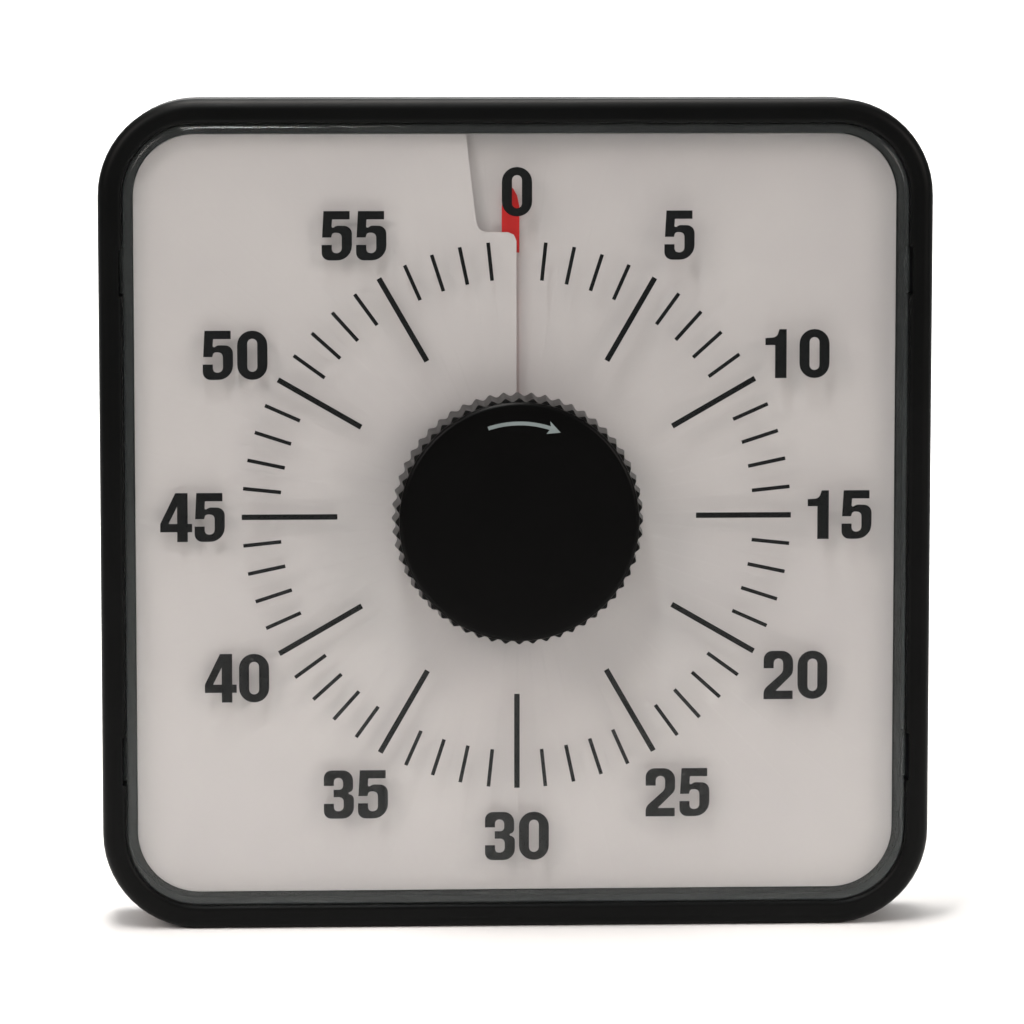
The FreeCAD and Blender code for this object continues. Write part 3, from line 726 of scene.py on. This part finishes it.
def flat_prism(name: str, outlines: Sequence[Sequence[Point]], y0: float, y1: float) -> bpy.types.Object:
    """Thin solid over filled outlines, placed from the knob's axis.

    Args:
        name: the new object's name.
        outlines: closed outlines in millimetres; one inside another is a hole.
        y0: front of the solid in millimetres.
        y1: back of the solid in millimetres.

    Returns:
        The solid as a mesh object.
    """
    curve = bpy.data.curves.new(name, "CURVE")
    curve.dimensions = "2D"
    curve.fill_mode = "BOTH"
    curve.extrude = mm(abs(y1 - y0) / 2)
    for outline in outlines:
        spline = curve.splines.new("POLY")
        spline.points.add(len(outline) - 1)
        spline.use_cyclic_u = True
        for point, (x, z) in zip(spline.points, outline):
            point.co = (mm(x), mm(z), 0.0, 1.0)
    holder = bpy.data.objects.new(name + "_outline", curve)
    bpy.context.scene.collection.objects.link(holder)
    graph = bpy.context.evaluated_depsgraph_get()
    mesh = bpy.data.meshes.new_from_object(holder.evaluated_get(graph))
    bpy.data.objects.remove(holder)
    upright = Matrix.Translation((0.0, mm((y0 + y1) / 2), AXIS_Z)) @ Matrix.Rotation(math.pi / 2, 4, "X")
    mesh.transform(upright)
    bm = bmesh.new()
    bm.from_mesh(mesh)
    bpy.data.meshes.remove(mesh)
    return finish_mesh(bm, name)


def circle_points(x: float, z: float, radius: float) -> list[Point]:
    """Points of a circle about a place.

    Args:
        x: the centre's X in millimetres.
        z: the centre's height over the knob's axis in millimetres.
        radius: the circle's radius in millimetres.

    Returns:
        The points in order.
    """
    turn = 2 * math.pi / CIRCLE_POINTS
    return [
        (x + radius * math.cos(i * turn), z + radius * math.sin(i * turn)) for i in range(CIRCLE_POINTS)
    ]


def box_piece(
    name: str, low: tuple[float, float, float], high: tuple[float, float, float]
) -> bpy.types.Object:
    """Box between two corners.

    Args:
        name: the new object's name.
        low: the lower corner in millimetres from the knob's axis.
        high: the upper corner in millimetres from the knob's axis.

    Returns:
        The box as a mesh object.
    """
    bm = bmesh.new()
    size = [mm(h - l) for l, h in zip(low, high)]
    middle = [mm((h + l) / 2) for l, h in zip(low, high)]
    bmesh.ops.create_cube(bm, size=1.0)
    bmesh.ops.scale(bm, vec=size, verts=bm.verts)
    bmesh.ops.translate(bm, vec=(middle[0], middle[1], middle[2] + AXIS_Z), verts=bm.verts)
    return finish_mesh(bm, name)


def joined(name: str, pieces: Sequence[bpy.types.Object]) -> bpy.types.Object:
    """Joins meshes into one new object.

    Args:
        name: the new object's name.
        pieces: the objects to join, which are removed.

    Returns:
        The new object.
    """
    bm = bmesh.new()
    for piece in pieces:
        bm.from_mesh(piece.data)
        bpy.data.objects.remove(piece)
    mesh = bpy.data.meshes.new(name)
    bm.to_mesh(mesh)
    bm.free()
    whole = bpy.data.objects.new(name, mesh)
    bpy.context.scene.collection.objects.link(whole)
    return whole


def settle(piece: bpy.types.Object, body: str, slot: str, finish: Finish, *nodes: str) -> None:
    """Gives a new piece its finish and body, and hides the CAD nodes that it stands for.

    Args:
        piece: the new mesh object.
        body: the body that it moves with.
        slot: the record's material slot; not used.
        finish: how it looks.
        nodes: the CAD nodes that it replaces.
    """
    finish.coat(piece)
    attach(piece, body)
    if nodes:
        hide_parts(*nodes)
    LOG.info("%s: %d faces on %s", piece.name, len(piece.data.polygons), body)


# ---------------------------------------------------------------------------------------------- the timer


@dataclass
class Rim:
    """Front half of the black case: rounded rim, window wall, cover ledge, snap slots and screw posts."""

    half: float = 95.0
    corner: float = 22.0
    front: float = -9.0
    split: float = 12.0
    wall: float = 2.5
    chamfer: float = 0.3
    outer_round: float = 2.6
    outer_facets: int = 7
    inner_round: float = 1.1
    window: float = 89.5
    ledge: float = 84.5
    ledge_front: float = 1.7
    ledge_back: float = 3.5
    slot_z: float = 56.0
    slot_length: float = 11.0
    slot_depth: float = 0.85
    slot_back: float = -1.0
    slot_overcut: float = 0.5
    post_at: float = 81.5
    post_radius: float = 4.0
    post_bore: float = 1.3
    per_corner: int = 15

    def profile(self) -> list[Point]:
        """Draws the cross-section of the wall.

        Returns:
            Its points as (y, half-width), once round.
        """
        inner = self.half - self.wall
        outer_edge = quarter_round(self.front, self.half, self.outer_round, -1, 1, self.outer_facets)[::-1]
        inner_edge = quarter_round(self.front, self.window, self.inner_round, -1, -1)
        return [
            (self.split - self.chamfer, self.half),
            *outer_edge,
            *inner_edge,
            (self.ledge_front, self.window),
            (self.ledge_front, self.ledge),
            (self.ledge_back, self.ledge),
            (self.ledge_back, inner),
            (self.split, inner),
            (self.split, self.half - self.chamfer),
        ]

    def outline(self, half: float) -> Callable[[int], Point]:
        """The case's outline drawn in or out by a constant distance."""
        return round_square(half, self.corner - (self.half - half), self.per_corner)

    def build(self) -> None:
        """Builds the shell and hides the CAD frame."""
        bm = bmesh.new()
        loft(bm, 4 * self.per_corner, [(y, self.outline(half)) for y, half in self.profile()], ring=True)
        shell = finish_mesh(bm, "rim_shell")
        for side in (-1, 1):
            for z in (-self.slot_z, self.slot_z):
                x = side * (self.window + self.slot_depth / 2 - self.slot_overcut)
                reach = self.slot_depth / 2
                slot = box_piece(
                    "slot",
                    (
                        x - reach - self.slot_overcut,
                        self.front - 2 * self.slot_overcut,
                        z - self.slot_length / 2,
                    ),
                    (x + reach + self.slot_overcut, self.slot_back, z + self.slot_length / 2),
                )
                cut_away(shell, slot)
        posts = []
        for side in (-1, 1):
            for rise in (-1, 1):
                at = (side * self.post_at, rise * self.post_at)
                ring = [circle_points(*at, self.post_radius), circle_points(*at, self.post_bore)]
                posts.append(flat_prism("post", ring, self.ledge_back, self.split))
        whole = joined("front_case_shell", [shell, *posts])
        smooth(whole)
        weigh_normals(whole)
        settle(whole, "case", "case_plastic", Finish.CASE, "front_frame")


class Numeral(Enum):
    """Corners of each heavy condensed figure as x, z and radius, in shares of its height."""

    ZERO = (
        ((0, 0, 0.3), (0.615, 0, 0.3), (0.615, 1, 0.3), (0, 1, 0.3)),
        ((0.207, 0.165, 0.1), (0.408, 0.165, 0.1), (0.408, 0.835, 0.1), (0.207, 0.835, 0.1)),
    )
    ONE = (
        (
            (0.2, 0, 0), (0.435, 0, 0), (0.435, 1, 0), (0.285, 1, 0.02), (0.235, 0.835, 0.14),
            (0, 0.82, 0), (0, 0.675, 0), (0.2, 0.675, 0),
        ),
    )
    TWO = (
        (
            (0, 0, 0), (0.6, 0, 0), (0.6, 0.175, 0), (0.25, 0.175, 0), (0.607, 0.53, 0.2),
            (0.607, 1, 0.3), (0, 1, 0.3), (0, 0.64, 0), (0.207, 0.64, 0), (0.207, 0.842, 0.1),
            (0.4, 0.842, 0.1), (0.4, 0.56, 0.16), (0, 0.2, 0.2),
        ),
    )
    THREE = (
        (
            (0, 0.68, 0), (0, 1, 0.29), (0.6, 1, 0.29), (0.6, 0.58, 0.1), (0.47, 0.525, 0.02),
            (0.615, 0.475, 0.12), (0.615, 0, 0.3), (0, 0, 0.3), (0, 0.31, 0), (0.207, 0.31, 0),
            (0.207, 0.155, 0.1), (0.405, 0.155, 0.1), (0.405, 0.445, 0.09), (0.2, 0.445, 0),
            (0.2, 0.6, 0), (0.395, 0.6, 0.08), (0.395, 0.845, 0.1), (0.207, 0.845, 0.1), (0.207, 0.68, 0),
        ),
    )
    FOUR = (
        (
            (0.345, 0, 0), (0.56, 0, 0), (0.56, 0.2, 0), (0.65, 0.2, 0), (0.65, 0.37, 0), (0.56, 0.37, 0),
            (0.56, 1, 0), (0.31, 1, 0), (0, 0.37, 0), (0, 0.2, 0), (0.345, 0.2, 0),
        ),
        ((0.17, 0.37, 0), (0.345, 0.37, 0), (0.345, 0.72, 0)),
    )
    FIVE = (
        (
            (0.04, 1, 0), (0.57, 1, 0), (0.57, 0.83, 0), (0.215, 0.83, 0), (0.2, 0.635, 0.03),
            (0.3, 0.705, 0.12), (0.615, 0.7, 0.22), (0.615, 0, 0.3), (0, 0, 0.3), (0, 0.315, 0),
            (0.207, 0.315, 0), (0.207, 0.15, 0.1), (0.408, 0.15, 0.1), (0.408, 0.56, 0.1),
            (0.22, 0.56, 0.08), (0.195, 0.465, 0), (0.01, 0.465, 0),
        ),
    )


@dataclass
class Window:
    """Clear moulded tray over the dial, with the minute scale printed on its inner face."""

    half: float = 89.3
    front: float = -9.5
    back: float = 1.7
    wall: float = 2.0
    edge_round: float = 1.6
    edge_facets: int = 7
    face_margin: float = 0.4
    inner_step: float = 1.2
    seam: float = 0.01
    back_clearance: float = 0.05
    snap_z: float = 56.0
    snap_half: float = 5.2
    snap_front: float = -3.2
    snap_back: float = -1.3
    snap_out: float = 0.95
    hole: float = 6.2
    hole_flat: float = 0.01
    corner_inset: float = 73.0
    per_corner: int = 15
    ink: float = 0.05
    tick_outer: float = 62.8
    minor_inner: float = 54.1
    major_inner: float = 41.0
    minor_width: float = 0.85
    major_width: float = 1.25
    numeral_height: float = 11.2
    numeral_cell: float = 0.615
    numeral_gap: float = 0.083
    numeral_circle: float = 74.0
    minutes: int = 60
    step: int = 5

    def outline(self, half: float) -> Callable[[int], Point]:
        """The tray's outline at a half-width, or the stem hole's circle."""
        corner = half - self.corner_inset if half > self.corner_inset else half - self.hole_flat
        return round_square(half, corner, self.per_corner)

    def tray(self) -> None:
        """Builds the clear tray with rounded edges and its four snaps."""
        inner_front = self.front + self.wall
        inner = self.half - self.wall
        edge = quarter_round(self.front, self.half, self.edge_round, -1, 1, self.edge_facets)
        profile = [
            (self.front, self.hole),
            (self.front, self.half - self.edge_round - self.face_margin),
            *edge,
            (inner_front - self.seam, self.half),
            (inner_front - self.seam, inner - self.inner_step),
            (inner_front - self.seam, self.hole),
        ]
        plate = self.ring("clear_window_plate", profile)
        settle(plate, "case", "clear_plastic", Finish.CLEAR, "clear_cover")
        wall = [
            (inner_front + self.seam, inner),
            (inner_front + self.seam, self.half),
            (self.back - self.back_clearance, self.half),
            (self.back - self.back_clearance, inner),
        ]
        snaps = []
        for side in (-1, 1):
            for z in (-self.snap_z, self.snap_z):
                x0, x1 = sorted((side * (self.half + self.seam), side * (self.half + self.snap_out)))
                low = (x0, self.snap_front, z - self.snap_half)
                high = (x1, self.snap_back, z + self.snap_half)
                snaps.append(box_piece("snap", low, high))
        walls = joined("clear_window_wall", [self.ring("wall", wall), *snaps])
        settle(walls, "case", "clear_plastic", Finish.FROSTED)

    def ring(self, name: str, profile: list[Point]) -> bpy.types.Object:
        """Builds a closed ring from a cross-section.

        Args:
            name: the new object's name.
            profile: the cross-section's points as (y, half-width).

        Returns:
            The ring as a mesh object.
        """
        bm = bmesh.new()
        loft(bm, 4 * self.per_corner, [(y, self.outline(half)) for y, half in profile], ring=True)
        made = finish_mesh(bm, name)
        weigh_normals(made)
        return made

    def figure(self, sign: Numeral, left: float, low: float) -> list[list[Point]]:
        """Draws one figure.

        Args:
            sign: the figure.
            left: its left edge in millimetres from the knob's axis.
            low: its foot in millimetres from the knob's axis.

        Returns:
            Its outlines.
        """
        size = self.numeral_height
        return [
            [(left + x * size, low + z * size) for x, z in rounded_polygon(outline)]
            for outline in sign.value
        ]

    def label(self, minute: int) -> list[list[Point]]:
        """Draws a minute's number, upright at its place on the number circle.

        Args:
            minute: the minute, from 0 to 59.

        Returns:
            The outlines of its figures.
        """
        signs = [list(Numeral)[int(c)] for c in str(minute)]
        size = self.numeral_height
        width = (len(signs) * self.numeral_cell + (len(signs) - 1) * self.numeral_gap) * size
        angle = 2 * math.pi * minute / self.minutes
        left = self.numeral_circle * math.sin(angle) - width / 2
        low = self.numeral_circle * math.cos(angle) - size / 2
        outlines: list[list[Point]] = []
        for index, sign in enumerate(signs):
            offset = index * (self.numeral_cell + self.numeral_gap) * size
            outlines += self.figure(sign, left + offset, low)
        return outlines

    def tick(self, minute: int) -> list[Point]:
        """Draws one minute's line.

        Args:
            minute: the minute, from 0 to 59.

        Returns:
            Its outline.
        """
        major = minute % self.step == 0
        inner = self.major_inner if major else self.minor_inner
        half = (self.major_width if major else self.minor_width) / 2
        angle = 2 * math.pi * minute / self.minutes
        along = Vector((math.sin(angle), math.cos(angle)))
        across = Vector((math.cos(angle), -math.sin(angle)))
        corners = [
            along * inner - across * half,
            along * inner + across * half,
            along * self.tick_outer + across * half,
            along * self.tick_outer - across * half,
        ]
        return [(c.x, c.y) for c in corners]

    def scale(self) -> None:
        """Builds the printed lines and numbers just behind the clear plate."""
        top = self.front + self.wall + self.seam
        marks = [flat_prism("tick", [self.tick(m)], top, top + self.ink) for m in range(1, self.minutes)]
        for minute in range(0, self.minutes, self.step):
            marks.append(flat_prism("number", self.label(minute), top, top + self.ink))
        settle(joined("printed_minute_scale", marks), "case", "case_plastic", Finish.INK)

    def build(self) -> None:
        """Builds the tray and its print."""
        self.tray()
        self.scale()


@dataclass
class Knob:
    """Fluted winding knob: skirt with a stem, smooth face plate and the printed arrow."""

    back: float = -10.2
    shoulder: float = -19.6
    front: float = -21.0
    back_radius: float = 28.7
    face_radius: float = 28.0
    wall: float = 2.4
    flutes: int = 56
    flute_depth: float = 0.85
    flute_power: float = 0.8
    points_per_flute: int = 10
    edge_break: float = 0.25
    shoulder_round: tuple[Point, ...] = ((0.3, 0.05), (0.08, -0.06), (0.0, -0.3))
    floor: float = 2.4
    head_margin: float = 1.0
    head_depth: float = 1.6
    bore_front: float = -16.0
    stem: float = 5.5
    stem_end: float = -6.9
    bore: float = 3.03
    plate: float = 27.2
    plate_round: float = 1.1
    plate_points: int = 120
    plate_facets: int = 8
    plate_gap: float = 0.02
    plate_inset: float = 0.3
    sink: float = 0.12
    dome: float = 0.09
    dome_radius: float = 25.0
    crown_radii: tuple[float, ...] = (22.0, 17.0, 11.0, 5.0, 1.5)
    arrow_circle: float = 22.4
    arrow_width: float = 0.85
    arrow_start: float = -18.4
    arrow_neck: float = 18.0
    arrow_tip: float = 24.5
    arrow_step: float = 1.2
    barb_back: float = 1.2
    tip_drop: float = 0.1
    head_width: float = 3.0
    print_front: float = 0.03
    print_back: float = 0.2

    def fluted(self, radius: float) -> Callable[[int], Point]:
        """Draws the skirt's outline with its concave flutes.

        Args:
            radius: the outline's radius over the ribs in millimetres.

        Returns:
            The function that gives the point at an index.
        """
        count = self.flutes * self.points_per_flute

        def at(index: int) -> Point:
            """Point of the fluted outline at an index."""
            wave = 0.5 - 0.5 * math.cos(2 * math.pi * index / self.points_per_flute)
            depth = self.flute_depth * wave**self.flute_power
            angle = 2 * math.pi * index / count
            return ((radius - depth) * math.cos(angle), (radius - depth) * math.sin(angle))

        return at

    def skirt(self) -> None:
        """Builds the cup with its flutes, inner wall and stem."""
        count = self.flutes * self.points_per_flute
        inner = self.face_radius - self.wall
        floor = self.shoulder + self.floor
        head = self.bore + self.head_margin
        levels: list[Level] = [
            (self.back, circle(inner, count)),
            (self.back, self.fluted(self.back_radius - self.edge_break)),
            (self.back - self.edge_break, self.fluted(self.back_radius)),
            *[(self.shoulder + y, self.fluted(self.face_radius + r)) for y, r in self.shoulder_round],
            (self.shoulder, circle(head, count)),
            (self.shoulder + self.head_depth, circle(head, count)),
            (self.bore_front, circle(self.bore, count)),
            (self.stem_end, circle(self.bore, count)),
            (self.stem_end, circle(self.stem, count)),
            (floor, circle(self.stem, count)),
            (floor, circle(inner, count)),
        ]
        bm = bmesh.new()
        loft(bm, count, levels, ring=True)
        skirt = finish_mesh(bm, "fluted_knob_skirt")
        weigh_normals(skirt)
        settle(skirt, "knob", "knob_plastic", Finish.KNOB, "knob_body")

    def face(self) -> None:
        """Builds the smooth plate, very slightly domed, with its rounded rim."""
        count = self.plate_points
        edge = self.front + self.sink
        back = self.shoulder - self.plate_gap
        rim = quarter_round(edge, self.plate, self.plate_round, -1, 1, self.plate_facets)[::-1]
        crown = [(edge - self.dome * (1 - (r / self.dome_radius) ** 2), r) for r in self.crown_radii]
        profile = [(back, self.plate - self.plate_inset), (back, self.plate), *rim, *crown]
        bm = bmesh.new()
        loft(bm, count, [(y, circle(r, count)) for y, r in profile], ring=False)
        plate = finish_mesh(bm, "knob_face_plate")
        settle(plate, "knob", "knob_plastic", Finish.KNOB_FACE, "knob_cap")

    def arrow(self) -> None:
        """Builds the curved turning arrow as thin print on the plate."""
        turn = math.radians(self.arrow_step)
        start, neck = math.radians(self.arrow_start), math.radians(self.arrow_neck)
        tip = math.radians(self.arrow_tip)
        steps = int((neck - start) / turn)
        sweep = [start + (neck - start) * i / steps for i in range(steps + 1)]
        half = self.arrow_width / 2
        outer = [self.polar(self.arrow_circle + half, a) for a in sweep]
        inner = [self.polar(self.arrow_circle - half, a) for a in reversed(sweep)]
        barb = neck - math.radians(self.barb_back)
        head = [
            self.polar(self.arrow_circle + self.head_width / 2, barb),
            self.polar(self.arrow_circle - self.tip_drop, tip),
            self.polar(self.arrow_circle - self.head_width / 2, barb),
        ]
        front, back = self.front + self.print_front, self.front + self.print_back
        arrow = flat_prism("printed_turning_arrow", [outer + head + inner], front, back)
        settle(arrow, "knob", "knob_plastic", Finish.GREY_INK)

    @staticmethod
    def polar(radius: float, clockwise: float) -> Point:
        """Point at a radius and an angle clockwise from the top."""
        return (radius * math.sin(clockwise), radius * math.cos(clockwise))

    def build(self) -> None:
        """Builds skirt, face plate and arrow."""
        self.skirt()
        self.face()
        self.arrow()


@dataclass
class Inside:
    """The CAD nodes that keep their own shape and get a finish."""

    finishes: tuple[tuple[Finish, tuple[str, ...]], ...] = (
        (Finish.CASE, ("rear_cover", "kickstand")),
        (Finish.WHITE, ("dial_plate", "disc_hub")),
        (Finish.SHEET, ("dial_sheet",)),
        (Finish.RED, ("red_disc",)),
        (
            Finish.BRASS,
            (
                "movement_front_plate", "movement_rear_plate", "great_wheel", "second_wheel", "third_wheel",
                "escape_wheel", "balance_wheel", "strike_cam",
            ),
        ),
        (
            Finish.STEEL,
            (
                "spindle", "plate_pillars", "ratchet_wheel", "click", "second_pinion", "third_pinion",
                "escape_pinion", "pallet_lever", "pallet_staff", "balance_staff", "hammer", "hammer_pin",
                "bell_post", "stand_hinge_pin",
            ),
        ),
        (Finish.BLUED, ("mainspring",)),
        (Finish.NICKEL, ("bell", "magnets")),
        (Finish.ZINC, ("knob_screw", "pillar_screws", "movement_screws", "bell_screw", "case_screws")),
    )

    def build(self) -> None:
        """Dresses every CAD node that stays in view."""
        for finish, nodes in self.finishes:
            for node in nodes:
                finish.coat(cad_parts[node])
            LOG.info("%s: %s", finish.name, ", ".join(nodes))


@dataclass
class Studio:
    """Pale sweep, soft lamps and the camera."""

    distance: float = 1100.0
    azimuth: float = -2.5
    elevation: float = 6.0
    view_width: float = 233.6
    sensor: float = 36.0
    aim: tuple[float, float, float] = (-1.2, -9.0, 1.1)
    sweep_half_width: float = 2.5
    sweep_half_depth: float = 1.6
    sweep_bend: float = 0.6
    sweep_rise: float = 1.6
    sweep_steps: int = 16
    room_light: float = 0.34

    def camera(self) -> None:
        """Places the camera nearly square to the dial, a little above and left of it."""
        data = bpy.data.cameras.new("camera")
        data.sensor_width = self.sensor
        data.lens = self.sensor * self.distance / self.view_width
        data.clip_start = 0.01
        holder = bpy.data.objects.new("camera", data)
        bpy.context.scene.collection.objects.link(holder)
        azimuth, elevation = math.radians(self.azimuth), math.radians(self.elevation)
        back = Vector(
            (
                math.sin(azimuth) * math.cos(elevation),
                -math.cos(azimuth) * math.cos(elevation),
                math.sin(elevation),
            )
        )
        target = Vector((mm(self.aim[0]), mm(self.aim[1]), AXIS_Z + mm(self.aim[2])))
        holder.location = target + back * mm(self.distance)
        holder.rotation_euler = (-back).to_track_quat("-Z", "Y").to_euler()
        bpy.context.scene.camera = holder

    def lamp(
        self,
        name: str,
        place: tuple[float, float, float],
        aim: tuple[float, float, float],
        size: tuple[float, float],
        watts: float,
        tint: str,
        spread: float = 180.0,
    ) -> None:
        """Adds a soft rectangular lamp.

        Args:
            name: the lamp's name.
            place: where it hangs, in metres.
            aim: the point it looks at, in metres.
            size: its width and height in metres.
            watts: its power.
            tint: its colour as sRGB hex.
            spread: opening of its grid in degrees.
        """
        data = bpy.data.lights.new(name, "AREA")
        data.shape = "RECTANGLE"
        data.size, data.size_y = size
        data.energy = watts
        data.color = linear(tint)[:3]
        data.spread = math.radians(spread)
        holder = bpy.data.objects.new(name, data)
        bpy.context.scene.collection.objects.link(holder)
        holder.location = place
        holder.rotation_euler = (Vector(aim) - Vector(place)).to_track_quat("-Z", "Y").to_euler()

    def sweep(self) -> None:
        """Builds the floor, which curves up into the backdrop."""
        bm = bmesh.new()
        bmesh.ops.create_grid(bm, x_segments=1, y_segments=1, size=1.0)
        bmesh.ops.scale(bm, vec=(self.sweep_half_width, self.sweep_half_depth, 1.0), verts=bm.verts)
        far = [e for e in bm.edges if all(v.co.y > self.sweep_half_depth - 0.1 for v in e.verts)]
        bmesh.ops.spin(
            bm,
            geom=far,
            cent=(0.0, self.sweep_half_depth, self.sweep_bend),
            axis=(1.0, 0.0, 0.0),
            angle=math.radians(90),
            steps=self.sweep_steps,
        )
        top = [e for e in bm.edges if all(abs(v.co.z - self.sweep_bend) < 1e-4 for v in e.verts)]
        grown = bmesh.ops.extrude_edge_only(bm, edges=top)["geom"]
        fresh = [g for g in grown if isinstance(g, bmesh.types.BMVert)]
        bmesh.ops.translate(bm, vec=(0, 0, self.sweep_rise), verts=fresh)
        mesh = bpy.data.meshes.new("sweep")
        bm.to_mesh(mesh)
        bm.free()
        floor = bpy.data.objects.new("sweep", mesh)
        bpy.context.scene.collection.objects.link(floor)
        mesh.polygons.foreach_set("use_smooth", [True] * len(mesh.polygons))
        paper = new_material("pale_background_paper")
        look = {"Base Color": linear("F4F4F3"), "Roughness": 0.9}
        shader = add_node(paper, "ShaderNodeBsdfPrincipled", look)
        floor.data.materials.append(close_material(paper, shader))

    def world(self) -> None:
        """Gives the room an even soft light."""
        world = bpy.data.worlds.new("studio")
        world.use_nodes = True
        shade = world.node_tree.nodes["Background"]
        shade.inputs["Color"].default_value = linear("E6E4E2")
        shade.inputs["Strength"].default_value = self.room_light
        bpy.context.scene.world = world

    def build(self) -> None:
        """Sets up camera, sweep, world and lamps."""
        bpy.context.scene.view_settings.view_transform = "Standard"
        self.camera()
        self.sweep()
        self.world()
        dial = (0.0, 0.0, AXIS_Z)
        self.lamp("left_soft_box", (-0.85, -0.75, 0.8), dial, (1.1, 1.0), 1.2, "FFF3EF", 40)
        self.lamp("right_soft_box", (0.95, -0.75, 0.55), dial, (1.1, 1.0), 1.05, "FFF3EE", 40)
        self.lamp("overhead_strip", (-0.1, 0.1, 1.3), (0.0, 0.05, 0.0), (0.9, 0.3), 2.2, "FFFAF5", 70)
        self.lamp("backdrop_wash", (0.0, 0.9, 1.5), (0.0, 1.3, 0.1), (2.4, 0.5), 36.0, "FFFFFF", 110)
        self.lamp("ceiling_tube", (-0.11, -0.38, 0.8), dial, (0.05, 0.5), 0.3, "FFFFFF", 60)


def main() -> None:
    """Builds the studio and the timer."""
    logging.basicConfig(level=logging.INFO, format="%(name)s: %(message)s")
    for part in (Studio(), Rim(), Window(), Knob(), Inside()):
        part.build()


if __name__ == "__main__":
    main()
